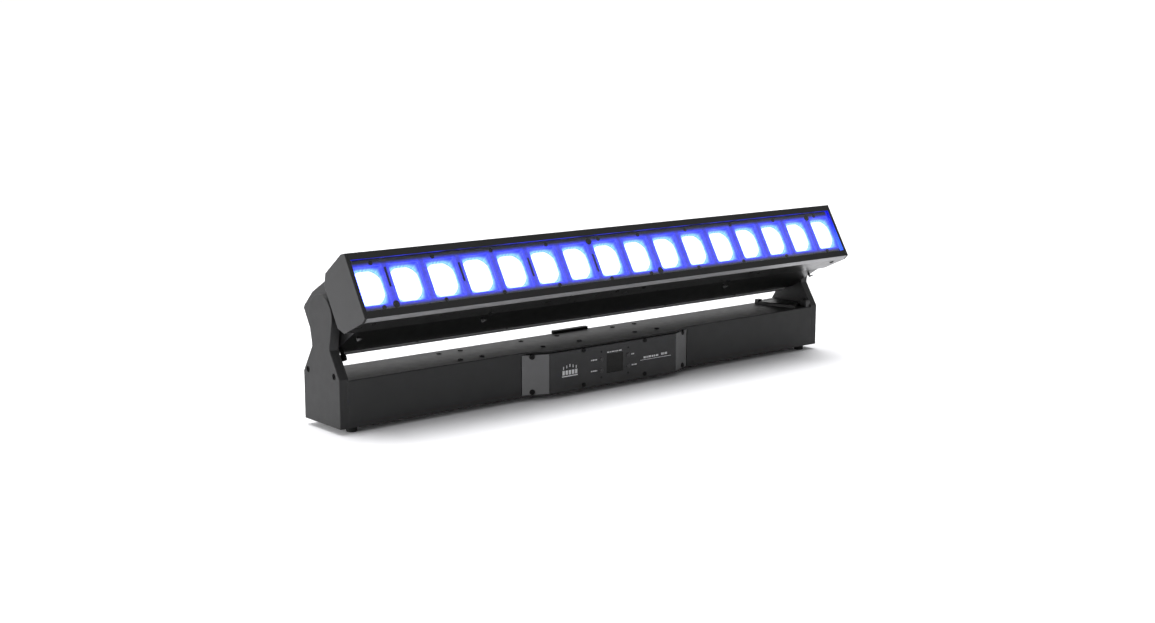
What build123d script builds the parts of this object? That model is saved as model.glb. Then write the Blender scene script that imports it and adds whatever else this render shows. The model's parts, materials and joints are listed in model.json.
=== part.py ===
"""Moving LED batten: a tilting sixteen-lens head carried by two yoke arms on a long base.

Row frame, millimetres: X runs along the batten, -Y is the front, +Z is up.
The origin is the middle of the base underside, at the mouth of the centre thread.
Head parts are drawn in a head frame (f forward along the beam, u up, pivot at 0, 0)
and turned to the rest angle by in_head().
"""
from build123d import *
from math import asin, cos, pi, sin, sqrt
import os

os.makedirs("parts", exist_ok=True)

# ---- base and yoke -------------------------------------------------------------------
LENGTH = 1000.0                 # over the yoke arms and over the head end caps
HALF = LENGTH / 2
ARM_T = 15.0                    # thickness of a yoke arm along X
ARM_WALL = 2.0
ARM_IN = HALF - ARM_T           # inner face of an arm
COVER_T = 2.0                   # arm inner cover plate
BASE_Y = 48.5                   # half depth of the base
BASE_H = 69.0
SHEET = 2.0
FOOT_R = 8.0
FOOT_H = 9.0
FOOT_X = 472.0
FOOT_Y = 33.0
PIVOT_Z = 156.0
ARM_TOP_R = 32.0
KINK_Z = 71.0                   # arm leaves the base outline here
WAIST_Z0, WAIST_Z1 = 110.0, 115.0
WAIST_Y = 24.0

# ---- control panel -------------------------------------------------------------------
PANEL_X = 175.0                 # half width where it meets the base front
PANEL_FLAT_X = 134.5            # half width of the flat centre
PANEL_OUT = 17.5                # how far it stands out
PANEL_Y = -BASE_Y - PANEL_OUT
PANEL_Z0, PANEL_Z1 = 2.2, 64.6
OVERHANG_T = 1.4                # lip of the base top over the panel
EDGE_SLOT_W = 1.8               # open slot down each edge of the panel
OVERLAY_T = 0.8
WINDOW_W, WINDOW_H = 35.0, 31.0
WINDOW_Z = 34.0
BUTTON_R = 3.6
BUTTON_X = 28.5
BUTTON_Z = (43.0, 25.0)
BUTTON_TRAVEL = 1.0
RUN_GAP = 0.12                  # clearance round a button
DISPLAY_SCREW_Z = (55.0, 13.5)  # small screws in the button columns
PANEL_SCREW_Z = (6.6, 62.2)
PANEL_SCREW_X = 65.0
SIDE_SCREW_X = 160.0            # screws on the sloping sides
PANEL_SCREW_R = 1.6
SLOPE = (PANEL_OUT - OVERLAY_T) / (PANEL_X - PANEL_FLAT_X)
INNER_Y = PANEL_Y + OVERLAY_T + SHEET   # inner face of the panel front

# ---- tilt drive ----------------------------------------------------------------------
SHAFT_R = 7.5
SHAFT_BORE = 5.0
BEARING_R = 12.0
BEARING_W = 5.0
SHAFT_GAP = 0.04                # running clearance in the bearings
MOTOR_Z = 31.0
MOTOR_HALF = 21.0
MOTOR_L = 38.0
BIG_PULLEY_R = 18.6
SMALL_PULLEY_R = 6.2            # a third of the big pulley
BELT_T = 1.4
BELT_W = 5.0
BELT_GAP = 0.3
PULLEY_X = HALF - 6.0           # middle of the belt

# ---- head ----------------------------------------------------------------------------
TILT_REST = 30.5                # beam above the horizontal at rest, degrees
FACE_F = 109.0                  # front face of the head frame
FACE_U = 49.0
RIM_F, RIM_U = 99.5, 52.0       # where the frame chamfer meets the box
SHOULDER_F, SHOULDER_U = 48.0, 46.5
TAIL_F, TAIL_U = 35.5, 33.0     # rear corner of the end caps
CAP_T = 3.5
BODY_X = 483.0                  # half width of the body between the arms
SIDE_T = 2.0
FLANGE_F, FLANGE_U = -26.0, 48.5
REAR_F, REAR_U = -62.0, 38.5
REAR_EDGE_F, REAR_EDGE_U = -58.0, 41.0
LIP_U = 38.5                    # half height of the window
LIP_X = 493.5                   # half width of the window
LIP_T = 2.4
REBATE_U = 43.5
REBATE_X = 494.8
FRAME_SPLIT_X = 470.0

# ---- optics --------------------------------------------------------------------------
CELLS = 16
PITCH = 62.6
CELL_X = [(k - (CELLS - 1) / 2) * PITCH for k in range(CELLS)]
APERTURE_W, APERTURE_H = 49.6, 58.4
BEZEL_F0, BEZEL_F1 = 97.0, 101.0
BEZEL_WALL = 1.8
BEZEL_WALL_F = 90.0
GLASS_F0, GLASS_F1 = 103.6, FACE_F - LIP_T
LENS_R = 27.5                   # round lens cut to LENS_HALF_X by LENS_HALF_U
LENS_HALF_X, LENS_HALF_U = 24.4, 25.6
LENS_RIM_F = 89.5               # back of the lens rim, front of the carrier plate
LENS_RIM_T = 2.0
LENS_SAG = 4.5
CARRIER_T = 3.0
ZOOM_TRAVEL = 20.0
GUIDE_R = 3.0
GUIDE_U = 35.5
GUIDE_X = 5 * PITCH
SCREW_X = 3 * PITCH
BOARD_F = 40.0
FAN_X = 240.0
FAN_HALF = 20.0
FAN_ROTOR_R = 17.6


# ---- small helpers -------------------------------------------------------------------
def block(x0, x1, y0, y1, z0, z1):
    """Box between two corners."""
    return Pos((x0 + x1) / 2, (y0 + y1) / 2, (z0 + z1) / 2) * Box(x1 - x0, y1 - y0, z1 - z0)


def rod(axis, centre, radius, length):
    """Cylinder centred on a point and lying along X, Y or Z."""
    turn = {"X": Rot(0, 90, 0), "Y": Rot(90, 0, 0), "Z": Rot(0, 0, 0)}[axis]
    return Pos(*centre) * turn * Cylinder(radius, length)


def prism_x(outline, x0, x1):
    """(y, z) outline extruded along X."""
    wire = Wire.make_polygon([(x0, y, z) for y, z in outline], close=True)
    return extrude(Face(wire), amount=x1 - x0, dir=(1, 0, 0))


def prism_z(outline, z0, z1):
    """(x, y) outline extruded along Z."""
    wire = Wire.make_polygon([(x, y, z0) for x, y in outline], close=True)
    return extrude(Face(wire), amount=z1 - z0, dir=(0, 0, 1))


def head_block(x0, x1, f0, f1, u0, u1):
    return block(x0, x1, -f1, -f0, u0, u1)


def head_prism(outline, x0, x1):
    """(f, u) outline in the head frame, extruded along X."""
    return prism_x([(-f, u) for f, u in outline], x0, x1)


def mirrored(half):
    """Full (f, u) outline from its upper half, listed front to back."""
    return half + [(f, -u) for f, u in reversed(half)]


def head_rod(x, f0, f1, u, radius):
    """Cylinder along the beam axis."""
    return rod("Y", (x, -(f0 + f1) / 2, u), radius, f1 - f0)


def in_head(part):
    """Head frame to row frame at the rest angle."""
    return Pos(0, 0, PIVOT_Z) * Rot(-TILT_REST, 0, 0) * part


def flip_x(part):
    return mirror(part, about=Plane.YZ)


FACING = {
    "+Z": Rot(0, 0, 0),
    "-Z": Rot(180, 0, 0),
    "+X": Rot(0, 90, 0),
    "-X": Rot(0, -90, 0),
    "+Y": Rot(-90, 0, 0),
    "-Y": Rot(90, 0, 0),
}


def screw(head_r, head_h, shank_r, shank_l):
    """Button-head screw along +Z; the underside of its head is at z = 0."""
    head = Pos(0, 0, head_h / 2) * Cylinder(head_r, head_h)
    head = chamfer(head.edges().group_by(Axis.Z)[-1], min(head_h, head_r) * 0.35)
    socket = Pos(0, 0, head_h * 0.35) * extrude(RegularPolygon(head_r * 0.42, 6), head_h)
    shank = Pos(0, 0, -shank_l / 2) * Cylinder(shank_r, shank_l)
    return head + shank - socket


def put(part, point, facing):
    """Turn a +Z part to face a row direction and move it to a point."""
    return Pos(*point) * FACING[facing] * part


def save(name, *parts):
    """Write one node; several parts stay separate solids."""
    solids = [s for p in parts for s in p.solids()]
    shape = solids[0] if len(solids) == 1 else Compound(children=solids)
    shape.label = name
    export_step(shape, f"parts/{name}.step")


def ring(axis, centre, outer, inner, length):
    return rod(axis, centre, outer, length) - rod(axis, centre, inner, length + 2)


# ---- yoke arms -----------------------------------------------------------------------
def arm_outline(inset, x):
    """Flat arm outline at one X, drawn inwards from the outer shape by inset."""
    y0 = BASE_Y - inset
    yw = WAIST_Y - inset
    radius = ARM_TOP_R - inset
    shoulder_dz = 6.0
    shoulder_y = sqrt(radius ** 2 - shoulder_dz ** 2)
    right = [
        (y0, inset),
        (y0, KINK_Z),
        (yw, WAIST_Z0),
        (yw, WAIST_Z1),
        (shoulder_y, PIVOT_Z - shoulder_dz),
        (0, PIVOT_Z - shoulder_dz),
    ]
    outline = right + [(-y, z) for y, z in reversed(right[:-1])]
    foot = Face(Wire.make_polygon([(x, y, z) for y, z in outline], close=True))
    crown = Pos(x, 0, PIVOT_Z) * Rot(0, 90, 0) * Circle(radius)
    return foot, crown


def arm_slab(inset, x0, x1):
    foot, crown = arm_outline(inset, x0)
    return extrude(foot, amount=x1 - x0, dir=(1, 0, 0)) + extrude(crown, amount=x1 - x0, dir=(1, 0, 0))


ARM_SCREWS = [(36.0, 74.5), (-34.5, 74.5)]
ARM_SCREW_SINK = 3.0            # depth of the round sinks in the outer face
ARM_SCREW_R = 4.6


def yoke_arm():
    """Right arm shell, open towards the head; screws sink into its outer face."""
    shell_in = ARM_IN + COVER_T
    arm = arm_slab(0, shell_in, HALF)
    arm = fillet(arm.faces().sort_by(Axis.X)[-1].edges(), 1.0)
    arm -= arm_slab(ARM_WALL, shell_in - 1, HALF - ARM_WALL)
    for y, z in ARM_SCREWS:
        arm += rod("X", (HALF - 5, y, z), ARM_SCREW_R + 1.6, 7.0)
        arm -= rod("X", (HALF, y, z), ARM_SCREW_R, 2 * ARM_SCREW_SINK)
        arm -= rod("X", (HALF - 6, y, z), 1.6, 12.0)
    return arm


def arm_cover():
    """Right inner cover plate with the bearing seat."""
    plate = arm_slab(0, ARM_IN, ARM_IN + COVER_T)
    plate += rod("X", (ARM_IN + 3.5, 0, PIVOT_Z), 16.0, 3.0)
    plate -= rod("X", (ARM_IN + 2.5, 0, PIVOT_Z), BEARING_R, BEARING_W + 0.1)
    plate -= rod("X", (ARM_IN, 0, MOTOR_Z), 9.0, 6.0)
    return plate


def tilt_bearing():
    """Right thin-section bearing: two races and a recessed shield."""
    x = ARM_IN + BEARING_W / 2
    bearing = ring("X", (x, 0, PIVOT_Z), BEARING_R, SHAFT_R + SHAFT_GAP, BEARING_W)
    groove = ring("X", (x, 0, PIVOT_Z), BEARING_R - 1.4, SHAFT_R + 1.4, BEARING_W + 2)
    shield = ring("X", (x, 0, PIVOT_Z), BEARING_R - 1.0, SHAFT_R + 1.0, BEARING_W - 0.8)
    return (bearing - groove) + shield


right_arm = yoke_arm()
right_cover = arm_cover()
right_bearing = tilt_bearing()
save("yoke_arms", right_arm, flip_x(right_arm))
save("arm_covers", right_cover, flip_x(right_cover))
save("tilt_bearings", right_bearing, flip_x(right_bearing))

arm_screw = screw(4.0, 1.4, 1.55, 5.0)
arm_screws = [put(arm_screw, (HALF - ARM_SCREW_SINK, y, z), "+X") for y, z in ARM_SCREWS]
arm_screws += [flip_x(s) for s in arm_screws]


# ---- base housing --------------------------------------------------------------------
PLAN = [
    (-ARM_IN, -BASE_Y),
    (-PANEL_X, -BASE_Y),
    (-PANEL_FLAT_X, PANEL_Y),
    (PANEL_FLAT_X, PANEL_Y),
    (PANEL_X, -BASE_Y),
    (ARM_IN, -BASE_Y),
    (ARM_IN, BASE_Y),
    (-ARM_IN, BASE_Y),
]
SCREW_HOLE_R = 1.7
TOP_SCREW_X = [-276, -236, -117, -43, 77, 126]
TOP_SCREWS = [(x, y) for x in TOP_SCREW_X for y in (-28, 28)]
CONNECTOR_X = [-288, -252, -216, -180, -144, -108]
CONNECTOR_Z = 34.0
RECESS_X0, RECESS_X1 = -308.0, -88.0
RECESS_Z0, RECESS_Z1 = 14.0, 54.0
VENT_W = 3.0                    # air slots in the rear wall and in the floor
VENT_X = [110 + 9 * i for i in range(22)]
VENT_Z0, VENT_Z1 = 16.0, 52.0
FLOOR_VENT_X = [341.5 + 8 * i for i in range(12)]
FLOOR_VENT_Y = 22.0
RECEIVER_X = [-303.0, -197.0, 197.0, 303.0]
RECEIVER_R = 10.0
RECEIVER_BORE = 6.0
RECEIVER_DEPTH = 10.0
THREAD_R = 4.25                 # tapping radius of an M10 thread
THREAD_L = 14.0
HOOK_X, HOOK_H = 37.0, 4.5      # safety bracket hooked over the rear top edge
BRACKET_T = 3.0
BRACKET_Z = 26.0
EYE_R = 5.0
EYE_OUT = 13.0                  # eye centre behind the rear wall


def base_housing():
    """Folded cover: top, front and rear walls, with the overhang above the panel."""
    shell = prism_z(PLAN, 0, BASE_H)
    shell = fillet(shell.faces().sort_by(Axis.Z)[-1].edges(), 1.2)
    shell -= block(-HALF, HALF, -BASE_Y + SHEET, BASE_Y - SHEET, -1, BASE_H - SHEET)
    shell -= block(-PANEL_X - 1, PANEL_X + 1, PANEL_Y - 1, -BASE_Y, -1, BASE_H - OVERHANG_T)
    shell -= block(-PANEL_X + 6, PANEL_X - 6, -BASE_Y - 1, -BASE_Y + SHEET + 1, -1, PANEL_Z1 - 1)
    shell -= block(-PANEL_X - 1, PANEL_X + 1, -BASE_Y - 1, -BASE_Y + SHEET + 0.1, -1, SHEET)
    for x0 in (-PANEL_X - EDGE_SLOT_W, PANEL_X):
        shell -= block(x0, x0 + EDGE_SLOT_W, -BASE_Y - 1, -BASE_Y + SHEET + 1, PANEL_Z0, PANEL_Z1)
    for x, y in TOP_SCREWS:
        shell -= rod("Z", (x, y, BASE_H), SCREW_HOLE_R, 8)
    shell -= block(RECESS_X0, RECESS_X1, BASE_Y - SHEET - 1, BASE_Y + 1, RECESS_Z0, RECESS_Z1)
    for x in VENT_X:
        shell -= block(x - VENT_W / 2, x + VENT_W / 2, BASE_Y - SHEET - 1, BASE_Y + 1, VENT_Z0, VENT_Z1)
    return shell


def bottom_plate():
    """Floor of the base, with holes for the inserts, receivers, feet and air."""
    inner = [(x, max(min(y, BASE_Y - SHEET - 0.1), -BASE_Y + SHEET + 0.1) if abs(x) > PANEL_X else y)
             for x, y in PLAN]
    plate = prism_z(inner, 0, SHEET)
    plate -= block(-HALF, -PANEL_X, -BASE_Y - 1, -BASE_Y + SHEET + 0.1, -1, SHEET + 1)
    plate -= block(PANEL_X, HALF, -BASE_Y - 1, -BASE_Y + SHEET + 0.1, -1, SHEET + 1)
    plate -= rod("Z", (0, 0, 0), RECEIVER_R, 10)
    for x in RECEIVER_X:
        plate -= rod("Z", (x, 0, 0), RECEIVER_R, 10)
    for x in (-FOOT_X, FOOT_X):
        for y in (-FOOT_Y, FOOT_Y):
            plate -= rod("Z", (x, y, 0), SCREW_HOLE_R, 10)
    for x in FLOOR_VENT_X:
        plate -= block(x - VENT_W / 2, x + VENT_W / 2, -FLOOR_VENT_Y, FLOOR_VENT_Y, -1, SHEET + 1)
    return plate


def receiver():
    """Quarter-turn receiver cup, flush with the underside."""
    cup = rod("Z", (0, 0, RECEIVER_DEPTH / 2 + 1), RECEIVER_R, RECEIVER_DEPTH + 2)
    return cup - rod("Z", (0, 0, RECEIVER_DEPTH / 2), RECEIVER_BORE, RECEIVER_DEPTH)


save("base_housing", base_housing())
save("base_bottom_plate", bottom_plate())
centre_insert = rod("Z", (0, 0, THREAD_L / 2), RECEIVER_R, THREAD_L)
centre_insert -= rod("Z", (0, 0, THREAD_L / 2), THREAD_R, THREAD_L + 2)
save("mounting_inserts", centre_insert, *[Pos(x, 0, 0) * receiver() for x in RECEIVER_X])

foot = rod("Z", (0, 0, -FOOT_H / 2), FOOT_R, FOOT_H)
foot = chamfer(foot.edges().group_by(Axis.Z)[0], 1.0)
foot -= rod("Z", (0, 0, -FOOT_H), 4.2, 8) + rod("Z", (0, 0, -FOOT_H), SCREW_HOLE_R, 20)
foot_screw = put(screw(3.8, 2.2, 1.6, 10), (0, 0, -5), "-Z")
feet_at = [(x, y) for x in (-FOOT_X, FOOT_X) for y in (-FOOT_Y, FOOT_Y)]
save("rubber_feet", *[Pos(x, y, 0) * foot for x, y in feet_at])
foot_screws = [Pos(x, y, 0) * foot_screw for x, y in feet_at]

top_screws = [Pos(x, y, BASE_H) * screw(4.0, 1.2, 1.6, 6) for x, y in TOP_SCREWS]


def safety_bracket():
    """Rear bracket hooked over the top edge, with an eye for a safety cable."""
    hook = block(-HOOK_X, HOOK_X, BASE_Y - 2 * BRACKET_T, BASE_Y + BRACKET_T, BASE_H, BASE_H + HOOK_H)
    hook = fillet(hook.edges().filter_by(Axis.Z), BRACKET_T)
    hook += block(3 - HOOK_X, HOOK_X - 3, BASE_Y, BASE_Y + BRACKET_T, BRACKET_Z, BASE_H)
    tab = block(-16, 16, BASE_Y, BASE_Y + EYE_OUT + 9, BRACKET_Z, BRACKET_Z + 5)
    tab = fillet(tab.edges().filter_by(Axis.Z).group_by(Axis.Y)[-1], 8.0)
    return hook + tab - rod("Z", (0, BASE_Y + EYE_OUT, BRACKET_Z), EYE_R, 12)


save("rear_safety_bracket", safety_bracket())


COVER_H = 6.0                   # low cover over the wires at the foot of the right arm
BOSS_H = 12.0
BOSS_X, BOSS_Y = ARM_IN - 5.5, -39.0


def cable_cover():
    """Low cover that hides the wires between the base and the right arm."""
    outline = [(ARM_IN, -28), (ARM_IN - 12, -28), (452, -40), (434, 6), (430, 38), (ARM_IN, 42)]
    cover = prism_z(outline, BASE_H, BASE_H + COVER_H)
    cover = chamfer(cover.faces().sort_by(Axis.Z)[-1].edges(), 1.5)
    cover += block(430.5, 440, 30, 38, BASE_H, BASE_H + 1.5 * COVER_H)
    cover -= block(444, 476, 27, 30, BASE_H + 0.75 * COVER_H, BASE_H + 10)
    return cover


def corner_boss():
    """Front corner boss at the foot of the right arm."""
    boss = block(ARM_IN - 11, ARM_IN, BOSS_Y - 7, BOSS_Y + 7, BASE_H, BASE_H + BOSS_H)
    return fillet(boss.faces().sort_by(Axis.Z)[-1].edges(), 1.5)


save("cable_cover", cable_cover())
dome = put(screw(4.0, 2.4, 1.6, 3), (BOSS_X, BOSS_Y, BASE_H + BOSS_H), "+Z")
save("corner_boss", corner_boss() - rod("Z", (BOSS_X, BOSS_Y, BASE_H + BOSS_H), 1.6, 6))
save("base_screws", *arm_screws, *top_screws, *foot_screws, dome)


# ---- rear connectors -----------------------------------------------------------------
BARREL_R = 11.8
SOCKET_R = 9.6                  # recess that takes a plug
FLANGE_W, FLANGE_H = 26.0, 30.0
POWER_DEPTH, DATA_DEPTH = 16.0, 13.0


def connector_plate():
    plate = block(RECESS_X0 - 6, RECESS_X1 + 6, BASE_Y - SHEET - 2, BASE_Y - SHEET, 8, 60)
    for x in CONNECTOR_X:
        plate -= rod("Y", (x, BASE_Y, CONNECTOR_Z), 12.0, 20)
    return plate


def socket_body(x, depth):
    """Round panel socket: square flange, barrel and an open front recess."""
    y_seat = BASE_Y - SHEET
    flange = block(x - FLANGE_W / 2, x + FLANGE_W / 2, y_seat, y_seat + 2,
                   CONNECTOR_Z - FLANGE_H / 2, CONNECTOR_Z + FLANGE_H / 2)
    flange = fillet(flange.edges().filter_by(Axis.Y), 2.5)
    flange += rod("Y", (x, y_seat - 11, CONNECTOR_Z), BARREL_R, 22)
    flange -= rod("Y", (x, y_seat + 2, CONNECTOR_Z), SOCKET_R, 2 * depth)
    for sx, sz in ((-10, -12), (10, 12)):
        flange -= rod("Y", (x + sx, y_seat, CONNECTOR_Z + sz), 1.4, 10)
    return flange


def power_socket(x, key_z):
    """Locking mains socket with a keyed core that stays below the recess."""
    body = socket_body(x, POWER_DEPTH)
    floor_y = BASE_Y - POWER_DEPTH
    body += rod("Y", (x, floor_y + 2, CONNECTOR_Z), 5.0, 4)
    body += block(x - 1.5, x + 1.5, floor_y, floor_y + 5, CONNECTOR_Z + key_z - 1, CONNECTOR_Z + key_z + 1)
    return body


def data_socket(x, pins):
    """Round data socket with raised pins, or with blind contact holes."""
    body = socket_body(x, DATA_DEPTH)
    floor_y = BASE_Y - DATA_DEPTH
    for i in range(5):
        angle = 2 * pi * (i + 0.5) / 5
        at = (x + 5.5 * cos(angle), floor_y + (2 if pins else 0), CONNECTOR_Z + 5.5 * sin(angle))
        contact = rod("Y", at, 0.9, 4.4)
        body = body + contact if pins else body - contact
    return body


def network_port(x):
    """Rugged network port with a square jack inside a round shell."""
    jack = block(x - 5.8, x + 5.8, BASE_Y - 16, BASE_Y, CONNECTOR_Z - 4.5, CONNECTOR_Z + 4.5)
    return socket_body(x, 4) - jack


save("rear_connector_plate", connector_plate())
save("power_inlet", power_socket(CONNECTOR_X[0], 7.5))
save("power_outlet", power_socket(CONNECTOR_X[1], -7.5))
save("data_inlet", data_socket(CONNECTOR_X[2], True))
save("data_outlet", data_socket(CONNECTOR_X[3], False))
save("network_ports", network_port(CONNECTOR_X[4]), network_port(CONNECTOR_X[5]))


# ---- control panel -------------------------------------------------------------------
def panel_housing():
    """Bent panel shell with sloping sides."""
    front = PANEL_Y + OVERLAY_T
    outer = [(-PANEL_X, -BASE_Y), (-PANEL_FLAT_X, front), (PANEL_FLAT_X, front), (PANEL_X, -BASE_Y)]
    inner = [(-PANEL_X + 6, -BASE_Y + 1), (-PANEL_FLAT_X + 1, front + SHEET),
             (PANEL_FLAT_X - 1, front + SHEET), (PANEL_X - 6, -BASE_Y + 1)]
    shell = prism_z(outer, PANEL_Z0, PANEL_Z1)
    shell -= prism_z(inner, PANEL_Z0 + SHEET, PANEL_Z1 - SHEET)
    for side_hole in on_panel_sides(rod("Z", (0, 0, 0), PANEL_SCREW_R, 12)):
        shell -= side_hole
    return shell - panel_cuts()


def on_panel_sides(part):
    """Copies of a +Z part at the screw places on both sloping sides."""
    side_y = -BASE_Y - SLOPE * (PANEL_X - SIDE_SCREW_X)
    lean = Rot(0, 0, -asin(SLOPE / sqrt(1 + SLOPE ** 2)) * 180 / pi)
    left = [Pos(-SIDE_SCREW_X, side_y, z) * lean * FACING["-Y"] * part for z in PANEL_SCREW_Z]
    return left + [flip_x(p) for p in left]


def panel_cuts():
    """Window, button and screw holes through the panel front."""
    cuts = [block(-WINDOW_W / 2, WINDOW_W / 2, PANEL_Y - 1, PANEL_Y + 5,
                  WINDOW_Z - WINDOW_H / 2, WINDOW_Z + WINDOW_H / 2)]
    for sx in (-1, 1):
        for z in BUTTON_Z:
            cuts.append(rod("Y", (sx * BUTTON_X, PANEL_Y, z), BUTTON_R + RUN_GAP, 8))
        for z in DISPLAY_SCREW_Z:
            cuts.append(rod("Y", (sx * BUTTON_X, PANEL_Y, z), 1.0, 8))
        for z in PANEL_SCREW_Z:
            cuts.append(rod("Y", (sx * PANEL_SCREW_X, PANEL_Y, z), PANEL_SCREW_R, 12))
    return Compound(children=cuts)


overlay = block(-PANEL_FLAT_X, PANEL_FLAT_X, PANEL_Y, PANEL_Y + OVERLAY_T, PANEL_Z0, PANEL_Z1)
save("panel_housing", panel_housing())
save("panel_overlay", overlay - panel_cuts())
gasket = prism_z([(-PANEL_X + 8, -BASE_Y), (-PANEL_FLAT_X + 2, PANEL_Y + 4),
                  (PANEL_FLAT_X - 2, PANEL_Y + 4), (PANEL_X - 8, -BASE_Y)],
                 PANEL_Z1, BASE_H - OVERHANG_T)
save("panel_gasket", gasket)

window = block(-WINDOW_W / 2 + 0.1, WINDOW_W / 2 - 0.1, PANEL_Y + 0.3, PANEL_Y + OVERLAY_T + SHEET,
               WINDOW_Z - WINDOW_H / 2 + 0.1, WINDOW_Z + WINDOW_H / 2 - 0.1)
save("display_window", window)
module = block(-20, 20, INNER_Y, INNER_Y + 3.4, WINDOW_Z - 18, WINDOW_Z + 18)
save("display_module", module)


def control_board():
    """Circuit board behind the panel with its switch bodies and chips."""
    y0 = INNER_Y + 5.0
    board = block(-60, 60, y0, y0 + 1.6, 8, 60)
    board += block(-18, 18, y0 - 1.6, y0, WINDOW_Z - 14, WINDOW_Z + 14)
    for sx in (-1, 1):
        for z in BUTTON_Z:
            board += block(sx * BUTTON_X - 3, sx * BUTTON_X + 3, y0 - 1.2, y0, z - 3, z + 3)
    for x, z, s in ((-40, 36, 7), (42, 20, 5), (45, 46, 4), (0, 22, 6)):
        board += block(x - s, x + s, y0 + 1.6, y0 + 3.4, z - s, z + s)
    return board


save("control_board", control_board())


def button(sx, z):
    """Round push button with a stem that ends above its switch."""
    crown = rod("Y", (0, PANEL_Y + 0.5, 0), BUTTON_R, 3.0)
    crown = fillet(crown.edges().group_by(Axis.Y)[0], 0.6)
    flange = rod("Y", (0, INNER_Y + 0.9, 0), BUTTON_R + 0.9, 0.8)
    neck = rod("Y", (0, INNER_Y - 0.6, 0), BUTTON_R, 3.0)
    stem = rod("Y", (0, INNER_Y + 1.9, 0), 1.5, 1.5)
    return Pos(sx * BUTTON_X, 0, z) * (crown + neck + flange + stem)


for side, sx in (("left", -1), ("right", 1)):
    for level, z in zip(("upper", "lower"), BUTTON_Z):
        save(f"button_{level}_{side}", button(sx, z))

panel_screw = screw(3.7, 1.6, 1.55, 6)
mid_screws = [put(panel_screw, (sx * PANEL_SCREW_X, PANEL_Y, z), "-Y")
              for sx in (-1, 1) for z in PANEL_SCREW_Z]
display_screws = [put(screw(1.7, 0.5, 0.95, 2.5), (sx * BUTTON_X, PANEL_Y, z), "-Y")
                  for sx in (-1, 1) for z in DISPLAY_SCREW_Z]
save("panel_screws", *mid_screws, *on_panel_sides(screw(4.3, 1.8, 1.55, 6)), *display_screws)


# ---- inside the base -----------------------------------------------------------------
def power_supply():
    case = block(130, 330, -40, 36, 14, 56)
    for i in range(16):
        x = 150 + 10.5 * i
        case -= block(x, x + 3, -30, 26, 54, 58)
    for x in (140, 320):
        for y in (-32, 28):
            case += rod("Z", (x, y, 8), 4, 12)
    return case


def driver_board():
    board = block(-400, -180, -44, 16, 12, 13.6)
    for i in range(8):
        x = -386 + 26 * i
        board += block(x, x + 12, -36, -24, 13.6, 24)
        board += rod("Z", (x + 6, -6, 17), 5, 8)
    for x in (-394, -186):
        for y in (-38, 10):
            board += rod("Z", (x, y, 7), 3, 10)
    return board


save("power_supply", power_supply())
save("driver_board", driver_board())

motor_x0 = -ARM_IN + MOTOR_L
motor = block(-ARM_IN, motor_x0, -MOTOR_HALF, MOTOR_HALF, MOTOR_Z - MOTOR_HALF, MOTOR_Z + MOTOR_HALF)
motor = chamfer(motor.edges().filter_by(Axis.X), 4.0)
motor -= rod("X", (-ARM_IN, 0, MOTOR_Z), 2.6, 60)
save("tilt_motor", motor)
motor_shaft = rod("X", (-ARM_IN - 2.2, 0, MOTOR_Z), 2.5, 20.4)


def pulley(z, radius, bore):
    """Left toothed pulley with two side flanges, drawn as plain rims."""
    wheel = rod("X", (-PULLEY_X, 0, z), radius, 6.0)
    for side in (-1, 1):
        wheel += rod("X", (-PULLEY_X + side * 3.0, 0, z), radius + 1.6, 0.7)
    return wheel - rod("X", (-PULLEY_X, 0, z), bore, 20)


def belt_loop(gap):
    """Solid disc-and-tangent shape round both pulleys, gap outside their rims."""
    big = BIG_PULLEY_R + gap
    small = SMALL_PULLEY_R + gap
    lean = asin((big - small) / (PIVOT_Z - MOTOR_Z))
    right = [
        (big * cos(lean), PIVOT_Z + big * sin(lean)),
        (small * cos(lean), MOTOR_Z + small * sin(lean)),
    ]
    web = right + [(-y, z) for y, z in reversed(right)]
    x0, x1 = -PULLEY_X - BELT_W / 2, -PULLEY_X + BELT_W / 2
    loop = prism_x(web, x0, x1)
    loop += rod("X", (-PULLEY_X, 0, PIVOT_Z), big, BELT_W)
    loop += rod("X", (-PULLEY_X, 0, MOTOR_Z), small, BELT_W)
    return loop


save("tilt_motor_pulley", motor_shaft, pulley(MOTOR_Z, SMALL_PULLEY_R, 2.5))
save("tilt_belt", belt_loop(BELT_GAP + BELT_T) - belt_loop(BELT_GAP))


# ---- head casing ---------------------------------------------------------------------
BOX = mirrored([(FACE_F, FACE_U), (RIM_F, RIM_U), (SHOULDER_F, SHOULDER_U), (TAIL_F, TAIL_U)])
BODY = mirrored([(SHOULDER_F - 0.3, SHOULDER_U - 0.1), (FLANGE_F, FLANGE_U),
                 (REAR_EDGE_F, REAR_EDGE_U), (REAR_F, REAR_U)])
CAP_WALL = 1.6                  # side wall of the front box, under the end cap
CASING_SCREWS = [(x, 89.0) for x in (-475, -28, 28, 475)] + [(x, 54.0) for x in (-250, 250)]
NOTCH_X = [-336, -168, 0, 168, 336]
LIP_SPAN = 465.0
LIP_RISE = 2.8                  # lip of the rear cover beyond the body panels
LIP_LENGTH = 7.0
TETHER_AT = [(-469, 30), (-255, 36), (255, 36), (476, 30)]      # hooks under the body
THUMB_X, THUMB_F = -469.0, -22.0


def end_cap():
    """Right end cap, the full outline of the front box."""
    cap = head_prism(BOX, HALF - CAP_T, HALF)
    return fillet(cap.faces().sort_by(Axis.X)[-1].edges(), 0.8)


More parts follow.
